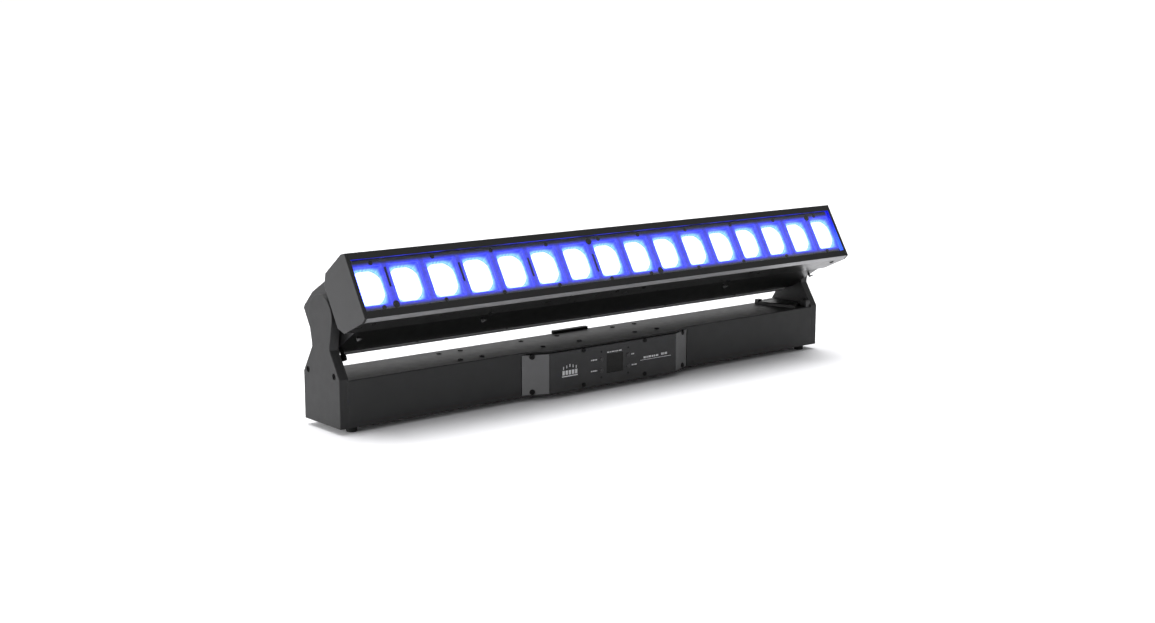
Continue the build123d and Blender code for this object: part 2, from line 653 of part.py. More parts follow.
def on_slope(part, x, f, side):
    """Put a +Z part on the upper (1) or lower (-1) sloping face of the front box."""
    rise = (RIM_U - SHOULDER_U) / (RIM_F - SHOULDER_F)
    u = SHOULDER_U + rise * (f - SHOULDER_F)
    lean = asin(rise / sqrt(1 + rise ** 2)) * 180 / pi
    upper = Pos(x, -f, u) * Rot(-lean, 0, 0) * part
    return upper if side > 0 else mirror(upper, about=Plane.XY)


def front_housing():
    """Long folded box that carries the window frame."""
    x = HALF - CAP_T
    wall = SHEET
    outer = mirrored([(RIM_F, RIM_U), (SHOULDER_F, SHOULDER_U), (TAIL_F, TAIL_U)])
    inner = mirrored([(RIM_F + 1, RIM_U - wall), (SHOULDER_F, SHOULDER_U - wall),
                      (TAIL_F + wall, TAIL_U - 1)])
    shell = head_prism(outer, -x, x) - head_prism(inner, -x + CAP_WALL, x - CAP_WALL)
    for x_s, f in CASING_SCREWS:
        for side in (-1, 1):
            shell -= on_slope(rod("Z", (0, 0, 0), 1.4, 10), x_s, f, side)
    mouth = mirrored([(SHOULDER_F, SHOULDER_U - wall), (SHOULDER_F, SHOULDER_U + 1),
                      (TAIL_F - 5, SHOULDER_U + 1)])
    return shell - head_prism(mouth, -BODY_X, BODY_X)


def body_under(f):
    """u of the underside of the body at one f."""
    return -SHOULDER_U - (FLANGE_U - SHOULDER_U) * (SHOULDER_F - f) / (SHOULDER_F - FLANGE_F)


def tether_hook(x, f):
    """Bent tab under the body for a tether or a cable tie."""
    top = body_under(f) + 1.0
    stem = head_block(x - 2, x + 2, f - 1.5, f, top - 7.5, top)
    return stem + head_block(x - 2, x + 2, f - 1.5, f + 6, top - 7.5, top - 6)


def body_panels():
    """Upper and lower panels of the body between the arms, with the hooks underneath."""
    x = BODY_X - SIDE_T
    outer = mirrored([(SHOULDER_F, SHOULDER_U), (FLANGE_F, FLANGE_U)])
    inner = mirrored([(SHOULDER_F + 1, SHOULDER_U - SHEET), (FLANGE_F - 1, FLANGE_U - SHEET)])
    panels = head_prism(outer, -x, x) - head_prism(inner, -x - 1, x + 1)
    for hook_x, hook_f in TETHER_AT:
        panels += tether_hook(hook_x, hook_f)
    return panels - rod("Z", (THUMB_X, -THUMB_F, -FLANGE_U), SCREW_HOLE_R, 10)


def thumb_screw():
    """Knurled captive screw along +Z; its collar rests at z = 0."""
    knob = Pos(0, 0, 10) * Cylinder(4.6, 9)
    knob = chamfer(knob.edges().filter_by(GeomType.CIRCLE), 0.8)
    for i in range(12):
        knob -= Rot(0, 0, 30 * i) * Pos(4.9, 0, 10) * Cylinder(0.6, 10)
    return knob + Pos(0, 0, 3) * Cylinder(2.8, 6) + Pos(0, 0, -1.8) * Cylinder(1.55, 3.6)


def side_plate():
    """Right side plate of the body, drilled for the tilt shaft."""
    plate = head_prism(BODY, BODY_X - SIDE_T, BODY_X)
    return plate - rod("X", (BODY_X, 0, 0), SHAFT_R + 0.1, 10)


def rear_cover():
    """Tapered rear cover with flange lips, cooling slots and fan grilles."""
    x = BODY_X - SIDE_T
    outer = mirrored([(FLANGE_F, FLANGE_U), (REAR_EDGE_F, REAR_EDGE_U), (REAR_F, REAR_U)])
    inner = mirrored([(FLANGE_F + 1, FLANGE_U - SHEET), (REAR_EDGE_F + 0.5, REAR_EDGE_U - SHEET),
                      (REAR_F + SHEET, REAR_U - SHEET)])
    shell = head_prism(outer, -x, x) - head_prism(inner, -x - 1, x + 1)
    for side in (-1, 1):
        u0, u1 = sorted((side * (FLANGE_U - 1.9), side * (FLANGE_U + LIP_RISE)))
        shell += head_block(-LIP_SPAN, LIP_SPAN, FLANGE_F - LIP_LENGTH, FLANGE_F, u0, u1)
        n0, n1 = sorted((side * (FLANGE_U + 0.3), side * (FLANGE_U + LIP_RISE + 1)))
        for nx in NOTCH_X:
            shell -= head_block(nx - 3, nx + 3, FLANGE_F - 2.5, FLANGE_F + 1, n0, n1)
    cuts = []
    for group_x in (-390, -90, 90, 390):
        for i in range(9):
            x0 = group_x - 54 + 12 * i
            cuts.append(head_block(x0, x0 + 3.2, REAR_F - 1, REAR_F + SHEET + 1, -26, 26))
    for fan_x in (-FAN_X, FAN_X):
        for radius in (6.0, 10.6, 15.2):
            groove = ring("Y", (fan_x, -REAR_F, 0), radius + 1.6, radius - 1.6, 8)
            spokes = head_block(fan_x - 20, fan_x + 20, REAR_F - 5, REAR_F + 5, -1.2, 1.2)
            spokes += head_block(fan_x - 1.2, fan_x + 1.2, REAR_F - 5, REAR_F + 5, -20, 20)
            cuts += (groove - spokes).solids()
    return shell - Compound(children=cuts)


cap = end_cap()
save("end_caps", in_head(cap), in_head(flip_x(cap)))
save("head_front_housing", in_head(front_housing()))
save("head_body_panels", in_head(body_panels()))
save("head_side_plates", in_head(side_plate()), in_head(flip_x(side_plate())))
save("rear_cover", in_head(rear_cover()))
casing_screw = screw(3.5, 1.3, 1.35, 4)
casing_screws = [in_head(on_slope(casing_screw, x, f, side)) for x, f in CASING_SCREWS for side in (-1, 1)]
thumb_at = (THUMB_X, -THUMB_F, body_under(THUMB_F) - 0.1)
casing_screws.append(in_head(put(thumb_screw(), thumb_at, "-Z")))


# ---- window frame and glass ----------------------------------------------------------
RAIL = [(FACE_F, LIP_U), (FACE_F, FACE_U), (RIM_F, RIM_U), (RIM_F, REBATE_U),
        (FACE_F - LIP_T, REBATE_U), (FACE_F - LIP_T, LIP_U)]


def frame_rail(side):
    return head_prism([(f, side * u) for f, u in RAIL], -FRAME_SPLIT_X, FRAME_SPLIT_X)


def frame_end():
    """Right end piece of the window frame."""
    x0, x1 = FRAME_SPLIT_X + 0.4, HALF - CAP_T - 0.5
    piece = head_prism(mirrored([(FACE_F, FACE_U), (RIM_F, RIM_U)]), x0, x1)
    piece -= head_block(x0 - 1, LIP_X, RIM_F - 1, FACE_F + 1, -LIP_U, LIP_U)
    return piece - head_block(x0 - 1, REBATE_X, RIM_F - 1, FACE_F - LIP_T, -REBATE_U, REBATE_U)


save("front_frame_rails", in_head(frame_rail(1)), in_head(frame_rail(-1)))
save("front_frame_ends", in_head(frame_end()), in_head(flip_x(frame_end())))

glass_u = REBATE_U - 0.2
glass_x = REBATE_X - 0.2
save("front_glass", in_head(head_block(-glass_x, glass_x, GLASS_F0, GLASS_F1, -glass_u, glass_u)))
gasket = head_block(-glass_x, glass_x, BEZEL_F1, GLASS_F0, -glass_u, glass_u)
gasket -= head_block(-LIP_X + 1.5, LIP_X - 1.5, BEZEL_F1 - 1, GLASS_F0 + 1, -41.3, 41.3)
save("glass_gasket", in_head(gasket))


# ---- lens bezels ---------------------------------------------------------------------
def bezel_screw_spots(sign):
    """Small and large screw centres of one eight-cell bezel."""
    cells = [x for x in CELL_X if x * sign > 0]
    first, last = min(cells), max(cells)
    step = (last - first - 2 * 10.3) / 4
    small = [(first + 10.3 + step * i, side * 33.6) for i in range(5) for side in (-1, 1)]
    large = [(first + PITCH / 2 - 0.6, -31.0), (last - PITCH / 2 + 0.6, 31.0)]
    return small, large


def lens_bezel(sign):
    """Black bezel with eight windows and short walls behind them; the left one has slots between pairs."""
    cells = [x for x in CELL_X if x * sign > 0]
    x0, x1 = sorted((sign * 0.2, sign * glass_x))
    plate = head_block(x0, x1, BEZEL_F0, BEZEL_F1, -glass_u, glass_u)
    half_w, half_h = APERTURE_W / 2, APERTURE_H / 2
    wall = BEZEL_WALL
    for x in cells:
        plate += head_block(x - half_w - wall, x + half_w + wall, BEZEL_WALL_F, BEZEL_F0,
                            -half_h - wall, half_h + wall)
    plate &= head_block(-glass_x, glass_x, 0, FACE_F, -glass_u, glass_u)
    for x in cells:
        window = head_block(x - half_w, x + half_w, BEZEL_WALL_F - 1, BEZEL_F1 + 1, -half_h, half_h)
        plate -= fillet(window.edges().filter_by(Axis.Y), 2.0)
    for i in range(4 if sign < 0 else 0):
        x = cells[2 * i] + PITCH / 2
        u = 11.0 - 5.3 * i
        plate -= head_block(x - 1.75, x + 1.75, BEZEL_F0 - 1, BEZEL_F1 + 1, u - 15, u + 15)
    small, large = bezel_screw_spots(sign)
    for x, u in small + large:
        plate -= head_rod(x, BEZEL_F0 - 1, BEZEL_F1 + 1, u, 1.5)
    return plate


small_screw = screw(3.3, 1.2, 1.45, 3.8)
large_screw = screw(5.3, 1.6, 1.45, 3.8)
bezel_screws = []
save("lens_bezels", in_head(lens_bezel(-1)), in_head(lens_bezel(1)))
for sign in (-1, 1):
    small, large = bezel_screw_spots(sign)
    bezel_screws += [in_head(put(small_screw, (x, -BEZEL_F1, u), "-Y")) for x, u in small]
    bezel_screws += [in_head(put(large_screw, (x, -BEZEL_F1, u), "-Y")) for x, u in large]
save("head_screws", *casing_screws, *bezel_screws)


# ---- optics --------------------------------------------------------------------------
def heat_sink():
    sink = head_block(-470, 470, BOARD_F - 6, BOARD_F, -40, 40)
    for i in range(61):
        x = -462 + 15.4 * i
        sink += head_block(x - 1, x + 1, -18, BOARD_F - 6, -38, 38)
    return sink


def led_package(x):
    body = head_block(x - 4, x + 4, BOARD_F + 1.6, BOARD_F + 3.0, -4, 4)
    dome = Pos(x, -(BOARD_F + 3.0) + 1.6, 0) * Sphere(3.6)
    return body + (dome - head_block(x - 5, x + 5, 20, BOARD_F + 2.9, -5, 5))


def light_mixer(x):
    """Square glass rod that widens towards the lens."""
    back = Pos(x, -(BOARD_F + 5.4), 0) * Rot(90, 0, 0) * Rectangle(9, 9)
    front = Pos(x, -57, 0) * Rot(90, 0, 0) * Rectangle(21, 21)
    return loft([back, front])


def mixer_plate():
    """Plate that grips the glass rods just behind their front ends."""
    plate = head_block(-474, 474, 53.0, 55.0, -27, 27)
    for x in CELL_X:
        plate -= head_block(x - 10.2, x + 10.2, 52, 56, -10.2, 10.2)
    return plate


def lens(x):
    """Plano-convex lens with four flats, standing on the carrier plate."""
    rim = head_rod(x, LENS_RIM_F, LENS_RIM_F + LENS_RIM_T, 0, LENS_R)
    flats = head_block(x - LENS_HALF_X, x + LENS_HALF_X, 0, FACE_F, -LENS_HALF_U, LENS_HALF_U)
    ball_r = (LENS_R ** 2 + LENS_SAG ** 2) / (2 * LENS_SAG)
    crown_f = LENS_RIM_F + LENS_RIM_T + LENS_SAG
    ball = Pos(x, -(crown_f - ball_r), 0) * Sphere(ball_r)
    crown = ball & head_rod(x, LENS_RIM_F + LENS_RIM_T, crown_f + 1, 0, LENS_R)
    return (rim + crown) & flats


GUIDES = [(sx * GUIDE_X, su * GUIDE_U) for sx in (-1, 1) for su in (-1, 1)]
SCREWS = [(-SCREW_X, GUIDE_U), (SCREW_X, GUIDE_U)]


def lens_carrier():
    """Plate that slides on the guide rods and carries all the lenses."""
    f0 = LENS_RIM_F - CARRIER_T
    plate = head_block(-CELL_X[-1] - 24, CELL_X[-1] + 24, f0, LENS_RIM_F, -32, 32)
    for x in CELL_X:
        plate -= head_rod(x, f0 - 1, LENS_RIM_F + 1, 0, LENS_HALF_X - 1.5)
    for x, u in GUIDES + SCREWS:
        side = 1 if u > 0 else -1
        plate += head_block(x - 6.5, x + 6.5, f0 - 5, LENS_RIM_F, *sorted((side * 29, side * 40)))
        plate -= head_rod(x, f0 - 6, LENS_RIM_F + 1, u, GUIDE_R + 0.06)
    return plate


save("heat_sink", in_head(heat_sink()))
board = head_block(-475, 475, BOARD_F, BOARD_F + 1.6, -27, 27)
save("led_board", in_head(board))
save("led_emitters", *[in_head(led_package(x)) for x in CELL_X])
save("light_mixers", *[in_head(light_mixer(x)) for x in CELL_X])
save("mixer_plate", in_head(mixer_plate()))
save("lenses", *[in_head(lens(x)) for x in CELL_X])
save("lens_carrier", in_head(lens_carrier()))
save("zoom_guide_rods", *[in_head(head_rod(x, BOARD_F, BEZEL_F0, u, GUIDE_R)) for x, u in GUIDES])
motors = [head_rod(x, BOARD_F, 54, u, 6.0) - head_rod(x, 50, 55, u, 1.0) for x, u in SCREWS]
save("zoom_motors", *[in_head(m) for m in motors])
for name, (x, u) in zip(("left_zoom_screw", "right_zoom_screw"), SCREWS):
    spindle = head_rod(x, 54.3, BEZEL_F0 - 0.4, u, GUIDE_R) + head_rod(x, 50.5, 54.3, u, 0.9)
    save(name, in_head(spindle))


# ---- fans ----------------------------------------------------------------------------
FAN_F0, FAN_F1 = REAR_F + SHEET + 0.2, REAR_F + SHEET + 10.2


def fan_frame(x):
    frame = head_block(x - FAN_HALF, x + FAN_HALF, FAN_F0, FAN_F1, -FAN_HALF, FAN_HALF)
    frame = fillet(frame.edges().filter_by(Axis.Y), 2.5)
    frame -= head_rod(x, FAN_F0 - 1, FAN_F1 + 1, 0, FAN_ROTOR_R + 0.8)
    frame += head_rod(x, FAN_F1 - 1.4, FAN_F1, 0, 9.5)
    for turn in (45, 135):
        arm = head_block(-FAN_HALF, FAN_HALF, FAN_F1 - 1.4, FAN_F1, -1.5, 1.5)
        arm = Pos(x, 0, 0) * Rot(0, turn, 0) * arm
        frame += arm
    return frame


def fan_rotor(x):
    """Hub and seven pitched blades."""
    mid = (FAN_F0 + FAN_F1 - 1.6) / 2
    rotor = head_rod(x, FAN_F0 + 0.6, FAN_F1 - 1.8, 0, 9.0)
    blade = Pos(0, -mid, 12.5) * Rot(0, 0, 38) * Box(8.5, 1.0, 9.0)
    for i in range(7):
        rotor += Pos(x, 0, 0) * Rot(0, 360 / 7 * i, 0) * blade
    return rotor & head_rod(x, FAN_F0 + 0.4, FAN_F1 - 1.7, 0, FAN_ROTOR_R)


save("fan_frames", in_head(fan_frame(-FAN_X)), in_head(fan_frame(FAN_X)))
save("left_fan_rotor", in_head(fan_rotor(-FAN_X)))
save("right_fan_rotor", in_head(fan_rotor(FAN_X)))


# ---- tilt shafts ---------------------------------------------------------------------
def tilt_shaft():
    """Right hollow shaft with a flange inside the body side plate."""
    end_x = PULLEY_X + 3.4
    flange_x = BODY_X - SIDE_T
    shaft = rod("X", ((flange_x - 4 + end_x) / 2, 0, 0), SHAFT_R, end_x - flange_x + 4)
    shaft += rod("X", (flange_x - 2, 0, 0), 15.0, 4.0)
    return shaft - rod("X", (ARM_IN, 0, 0), SHAFT_BORE, 60)


save("tilt_shafts", in_head(tilt_shaft()), in_head(flip_x(tilt_shaft())))
save("tilt_pulley", pulley(PIVOT_Z, BIG_PULLEY_R, SHAFT_R + SHAFT_GAP))
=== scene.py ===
"""Looks of the moving LED batten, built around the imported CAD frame.

Everything is in metres in the row frame: X along the batten, -Y the front, +Z up.
The head is turned up at rest, so head pieces are placed with head_point(x, f, u):
f along the beam and u across it, both from the tilt axis.
"""
import json
import math

import bmesh
import bpy
from mathutils import Euler, Matrix, Vector


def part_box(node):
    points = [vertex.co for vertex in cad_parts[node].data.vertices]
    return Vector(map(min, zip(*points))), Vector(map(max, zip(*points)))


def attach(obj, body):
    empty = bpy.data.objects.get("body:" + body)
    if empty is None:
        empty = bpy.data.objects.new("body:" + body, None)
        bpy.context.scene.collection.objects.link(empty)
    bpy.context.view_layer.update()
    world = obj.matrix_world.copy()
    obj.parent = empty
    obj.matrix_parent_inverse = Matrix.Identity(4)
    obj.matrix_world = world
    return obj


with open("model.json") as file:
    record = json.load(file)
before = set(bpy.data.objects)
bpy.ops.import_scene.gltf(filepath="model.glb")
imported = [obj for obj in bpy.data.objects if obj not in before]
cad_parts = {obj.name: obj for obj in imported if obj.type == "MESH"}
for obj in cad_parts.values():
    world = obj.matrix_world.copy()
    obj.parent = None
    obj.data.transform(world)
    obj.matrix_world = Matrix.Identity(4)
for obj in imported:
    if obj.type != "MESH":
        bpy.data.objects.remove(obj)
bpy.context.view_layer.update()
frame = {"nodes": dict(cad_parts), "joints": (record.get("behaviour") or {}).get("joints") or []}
nodes = frame["nodes"]
joints = {j["name"]: j for j in frame["joints"]}

MM = 0.001
X_AXIS = Vector((1, 0, 0))
PIVOT = Vector(joints["head_tilt"]["pos_m"])
BEAM = Vector(joints["zoom_travel"]["axis"])
HEAD_UP = BEAM.cross(X_AXIS)

# ---- sizes that the looks share with the frame ---------------------------------------
CELLS = 16
LENS_HALF_X = 24.4 * MM
LENS_HALF_U = 25.6 * MM
LENS_R = 27.5 * MM
lens_low, lens_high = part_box("lenses")
PITCH = (lens_high.x - lens_low.x - 2 * LENS_HALF_X) / (CELLS - 1)
CELL_X = [(k - (CELLS - 1) / 2) * PITCH for k in range(CELLS)]
WINDOW_HALF_X = 24.8 * MM       # opening of one cell in the bezel
WINDOW_HALF_U = 29.2 * MM
LENS_RIM_F = 91.8 * MM
BEZEL_FACE_F = 101.0 * MM
FRAME_FACE_F = 108.9 * MM
FRAME_LIP_U = 38.5 * MM         # inner edge of the rails of the window frame
FRAME_FACE_U = 49.0 * MM        # the bevel of the window frame starts here
FRAME_END_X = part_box("front_frame_ends")[1].x
END_WALL_X = FRAME_END_X - 2.5 * MM    # inner end walls of the frame
GASKET_X = FRAME_END_X - 3.9 * MM      # and of the gasket behind it
LIP_HIGHLIGHT_U = 48.9 * MM               # the hooks and the lip under the body lie beyond this; the painted highlight on them starts here
FLOOR_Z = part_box("rubber_feet")[0].z
PANEL_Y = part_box("panel_overlay")[0].y

LIGHT_COLOUR = (0.085, 0.115, 1.0)   # deep blue that overloads to white when bright
HALO_COLOUR = (0.10, 0.24, 1.0)      # the same light close round a lens
SPILL_COLOUR = (0.030, 0.045, 1.0)   # on the black surfaces that it washes
END_COLOUR = (0.035, 0.11, 1.0)      # low on the end walls of the window
DEEP_COLOUR = (0.004, 0.008, 1.0)    # and high on them
RIM_LIGHT, CORE_LIGHT = 4.5, 16.0    # emission at the rim and in the middle of a lens
END_LIGHT_LOW, END_LIGHT_HIGH = 1.6, 0.8


def head_point(x, f, u):
    return PIVOT + X_AXIS * x + BEAM * f + HEAD_UP * u


# ---- material building ---------------------------------------------------------------
class Material:
    """A node material under construction."""

    def __init__(self, name):
        self.material = bpy.data.materials.new(name)
        self.material.use_nodes = True
        self.tree = self.material.node_tree
        self.tree.nodes.clear()
        self.output = self.tree.nodes.new("ShaderNodeOutputMaterial")
        self.place = self.node("ShaderNodeTexCoord").outputs["Object"]

    def node(self, kind, **settings):
        made = self.tree.nodes.new(kind)
        for key, value in settings.items():
            setattr(made, key, value)
        return made

    def feed(self, socket, value):
        """Link a socket, or set a plain value."""
        if isinstance(value, bpy.types.NodeSocket):
            self.tree.links.new(value, socket)
        else:
            socket.default_value = value

    def math(self, operation, a, b=0.0):
        made = self.node("ShaderNodeMath", operation=operation)
        self.feed(made.inputs[0], a)
        self.feed(made.inputs[1], b)
        return made.outputs[0]

    def dot(self, vector, direction):
        made = self.node("ShaderNodeVectorMath", operation="DOT_PRODUCT")
        self.feed(made.inputs[0], vector)
        made.inputs[1].default_value = direction
        return made.outputs["Value"]

    def ease(self, value, low, high, to_low=0.0, to_high=1.0):
        """Smooth step of a value from low..high to to_low..to_high."""
        made = self.node("ShaderNodeMapRange", interpolation_type="SMOOTHSTEP")
        self.feed(made.inputs["Value"], value)
        limits = {"From Min": low, "From Max": high, "To Min": to_low, "To Max": to_high}
        for name, number in limits.items():
            made.inputs[name].default_value = number
        return made.outputs["Result"]

    def noise(self, size, detail=3.0, roughness=0.55, stretch=(1, 1, 1)):
        """Noise whose blobs are about size metres across."""
        mapping = self.node("ShaderNodeMapping")
        mapping.inputs["Scale"].default_value = [1 / (size * s) for s in stretch]
        self.feed(mapping.inputs["Vector"], self.place)
        made = self.node("ShaderNodeTexNoise")
        made.inputs["Scale"].default_value = 1.0
        made.inputs["Detail"].default_value = detail
        made.inputs["Roughness"].default_value = roughness
        self.feed(made.inputs["Vector"], mapping.outputs[0])
        return made.outputs["Fac"]

    def ramp(self, factor, *stops):
        made = self.node("ShaderNodeValToRGB")
        while len(made.color_ramp.elements) < len(stops):
            made.color_ramp.elements.new(0.5)
        for element, (position, colour) in zip(made.color_ramp.elements, stops):
            element.position = position
            element.color = (*colour, 1)
        self.feed(made.inputs["Fac"], factor)
        return made.outputs["Color"]

    def blend(self, factor, a, b):
        made = self.node("ShaderNodeMix", data_type="RGBA")
        self.feed(made.inputs["Factor"], factor)
        self.feed(made.inputs["A"], a if isinstance(a, bpy.types.NodeSocket) else (*a, 1))
        self.feed(made.inputs["B"], b if isinstance(b, bpy.types.NodeSocket) else (*b, 1))
        return made.outputs["Result"]

    def bump(self, height, distance, strength=1.0, edge=0.0):
        """Bump over an edge rounding of edge metres."""
        made = self.node("ShaderNodeBump")
        made.inputs["Strength"].default_value = strength
        made.inputs["Distance"].default_value = distance
        self.feed(made.inputs["Height"], height)
        if edge:
            self.feed(made.inputs["Normal"], self.rounded(edge))
        return made.outputs["Normal"]

    def rounded(self, radius):
        made = self.node("ShaderNodeBevel", samples=4)
        made.inputs["Radius"].default_value = radius
        return made.outputs["Normal"]

    def edges(self, radius):
        """About 1 on sharp edges and 0 on flats."""
        geometry = self.node("ShaderNodeNewGeometry")
        made = self.node("ShaderNodeVectorMath", operation="DOT_PRODUCT")
        self.feed(made.inputs[0], self.rounded(radius))
        self.feed(made.inputs[1], geometry.outputs["Normal"])
        return self.ease(made.outputs["Value"], 0.995, 0.9)

    def surface(self, **values):
        """Principled shader with sockets or plain values, joined to the output."""
        shader = self.node("ShaderNodeBsdfPrincipled")
        for key, value in values.items():
            name = key.replace("_", " ")
            if name in ("Base Color", "Emission Color", "Specular Tint") and isinstance(value, tuple):
                value = (*value, 1)
            self.feed(shader.inputs[name], value)
        self.tree.links.new(shader.outputs[0], self.output.inputs["Surface"])
        return shader

    def head_place(self):
        """x, f and u of a point of the head."""
        offset = self.node("ShaderNodeVectorMath", operation="SUBTRACT")
        self.feed(offset.inputs[0], self.place)
        offset.inputs[1].default_value = PIVOT
        local = offset.outputs["Vector"]
        return self.dot(local, X_AXIS), self.dot(local, BEAM), self.dot(local, HEAD_UP)

    def cell_place(self):
        """Distances from the middle of the nearest cell, with f."""
        x, f, u = self.head_place()
        turns = self.math("ADD", self.math("DIVIDE", x, PITCH), CELLS / 2)
        dx = self.math("MULTIPLY", self.math("SUBTRACT", self.math("FRACT", turns), 0.5), PITCH)
        return dx, f, u


def grey(value):
    return (value, value, value * 1.02)


def paint(name, tone, roughness=0.5, depth=0.035 * MM, shine=0.35, lip_highlight_tone=0.0):
    """Powder coat: orange peel, cloudiness, dust and rubbed edges, and, if it has a lip highlight tone,
    a painted highlight along the lower lip and hooks of the head.
    """
    m = Material(name)
    cloud = m.noise(90 * MM, 4.0)
    dust = m.ease(m.noise(2.2 * MM, 5.0, 0.7), 0.60, 0.78)
    base = m.ramp(cloud, (0.25, grey(tone * 0.86)), (0.75, grey(tone * 1.16)))
    dusty = m.blend(m.math("MULTIPLY", dust, 0.10), base, grey(0.16))
    colour = m.blend(m.math("MULTIPLY", m.edges(0.8 * MM), 0.2), dusty, grey(tone * 2.4 + 0.03))
    # painted highlight: the lower lip and hooks are paled to stand in for light on the lip's front step
    # face
    if lip_highlight_tone:
        u = m.head_place()[2]
        lip_highlight = m.ease(u, -LIP_HIGHLIGHT_U - 0.3 * MM, -LIP_HIGHLIGHT_U, 1.0, 0.0)
        colour = m.blend(lip_highlight, colour, grey(lip_highlight_tone))
    rough = m.math("ADD", m.math("MULTIPLY", m.noise(14 * MM, 4.0), 0.16), roughness - 0.08)
    m.surface(Base_Color=colour, Roughness=rough, Specular_IOR_Level=shine,
              Normal=m.bump(m.noise(0.7 * MM, 3.0, 0.6), depth, 0.6, 0.5 * MM))
    return m.material


def plastic(name, tone, roughness=0.45, shine=0.4, grain=0.35 * MM):
    """Moulded plastic with fine spark-eroded grain."""
    m = Material(name)
    colour = m.ramp(m.noise(20 * MM, 3.0), (0.3, grey(tone * 0.85)), (0.7, grey(tone * 1.2)))
    rough = m.math("ADD", m.math("MULTIPLY", m.noise(4 * MM, 3.0), 0.2), roughness - 0.1)
    m.surface(Base_Color=colour, Roughness=rough, Specular_IOR_Level=shine,
              Normal=m.bump(m.noise(grain, 2.0), 0.03 * MM, 0.7, 0.3 * MM))
    return m.material


def tinted_plastic(name, colour, roughness=0.4):
    m = Material(name)
    dark = tuple(c * 0.75 for c in colour)
    m.surface(Base_Color=m.blend(m.noise(9 * MM, 3.0), dark, colour), Roughness=roughness,
              Normal=m.bump(m.noise(0.4 * MM, 2.0), 0.03 * MM, 0.6, 0.3 * MM))
    return m.material


def rubber(name, tone):
    """Matt rubber, chalky where it is handled."""
    m = Material(name)
    chalk = m.ease(m.noise(3 * MM, 5.0, 0.65), 0.5, 0.75)
    colour = m.blend(m.math("MULTIPLY", chalk, 0.35), grey(tone), grey(tone * 2.6))
    m.surface(Base_Color=colour, Roughness=0.8, Specular_IOR_Level=0.3,
              Normal=m.bump(m.noise(0.6 * MM, 3.0), 0.05 * MM, 0.8, 0.4 * MM))
    return m.material


def metal(name, colour, roughness, streak=(1, 1, 1)):
    """Bare or plated metal with fine streaks and a little tarnish."""
    m = Material(name)
    dull = tuple(c * 0.6 for c in colour)
    tint = m.blend(m.ease(m.noise(6 * MM, 5.0), 0.35, 0.7), dull, colour)
    rough = m.math("ADD", m.math("MULTIPLY", m.noise(2 * MM, 4.0, 0.6, streak), 0.25), roughness - 0.1)
    m.surface(Base_Color=tint, Metallic=1.0, Roughness=rough,
              Normal=m.bump(m.noise(0.5 * MM, 3.0, 0.6, streak), 0.015 * MM, 0.5, 0.15 * MM))
    return m.material


def screw_black():
    """Black oxide steel, a little brighter where a key has rubbed it."""
    m = Material("black_oxide")
    worn = m.math("MULTIPLY", m.edges(0.3 * MM), m.ease(m.noise(1.5 * MM, 4.0), 0.45, 0.65))
    colour = m.blend(m.math("MULTIPLY", worn, 0.25), grey(0.0015), grey(0.08))
    m.surface(Base_Color=colour, Roughness=0.5, Specular_IOR_Level=0.15,
              Normal=m.bump(m.noise(0.4 * MM, 3.0), 0.02 * MM, 0.5, 0.2 * MM))
    return m.material


def lens_light():
    """Lit lens: an overloaded core that falls to clear blue at the rim."""
    m = Material("lit_lens")
    dx, f, u = m.cell_place()
    radius = m.math("SQRT", m.math("ADD", m.math("MULTIPLY", dx, dx), m.math("MULTIPLY", u, u)))
    to_rim = m.math("SUBTRACT", LENS_R, radius)
    to_side = m.math("SUBTRACT", LENS_HALF_X, m.math("ABSOLUTE", dx))
    to_end = m.math("SUBTRACT", LENS_HALF_U, m.math("ABSOLUTE", u))
    inside = m.math("MINIMUM", to_rim, m.math("MINIMUM", to_side, to_end))
    core = m.ease(inside, -0.3 * MM, 1.8 * MM, RIM_LIGHT, CORE_LIGHT)
    facets = m.math("MULTIPLY", m.ease(m.noise(2.4 * MM, 2.0), 0.3, 0.7, 0.92, 1.08), core)
    m.surface(Base_Color=(0.3, 0.35, 0.5), Roughness=0.12, Emission_Color=LIGHT_COLOUR,
              Emission_Strength=facets, Normal=m.bump(m.noise(1.5 * MM, 1.0), 0.02 * MM, 0.4))
    return m.material


def bezel_light():
    """Black bezel washed by the lenses: bright cell walls, lit bars and a fading border."""
    m = Material("bezel_glow")
    dx, f, u = m.cell_place()
    beside = m.math("SUBTRACT", m.math("ABSOLUTE", dx), WINDOW_HALF_X)
    above = m.math("SUBTRACT", m.math("ABSOLUTE", u), WINDOW_HALF_U)
    bar = m.ease(beside, 0.0, 5.0 * MM, 1.18, 0.74)
    border = m.ease(above, -1.0 * MM, 6.2 * MM, 1.0, 0.0)
    streaks = m.ease(m.noise(5 * MM, 3.0, 0.6, (1, 0.5, 0.5)), 0.3, 0.7, 0.85, 1.12)
    front = m.math("MULTIPLY", m.math("MULTIPLY", bar, border), streaks)
    wall = m.ease(f, 92 * MM, 100.6 * MM, 3.4, 1.35)
    on_front = m.ease(f, BEZEL_FACE_F - 0.35 * MM, BEZEL_FACE_F - 0.1 * MM)
    light = m.math("ADD", m.math("MULTIPLY", front, on_front),
                   m.math("MULTIPLY", wall, m.math("SUBTRACT", 1.0, on_front)))
    inside = m.math("MULTIPLY", m.ease(above, 0.3 * MM, 1.2 * MM, 1.0, 0.0),
                    m.ease(beside, 0.3 * MM, 1.2 * MM, 1.0, 0.0))
    light = m.math("MULTIPLY", light, m.math("MAXIMUM", on_front, inside))
    m.surface(Base_Color=m.ramp(m.noise(8 * MM), (0.3, grey(0.022)), (0.7, grey(0.034))), Roughness=0.5,
              Emission_Color=SPILL_COLOUR, Emission_Strength=light,
              Normal=m.bump(m.noise(0.5 * MM, 2.0), 0.03 * MM, 0.6, 0.3 * MM))
    return m.material


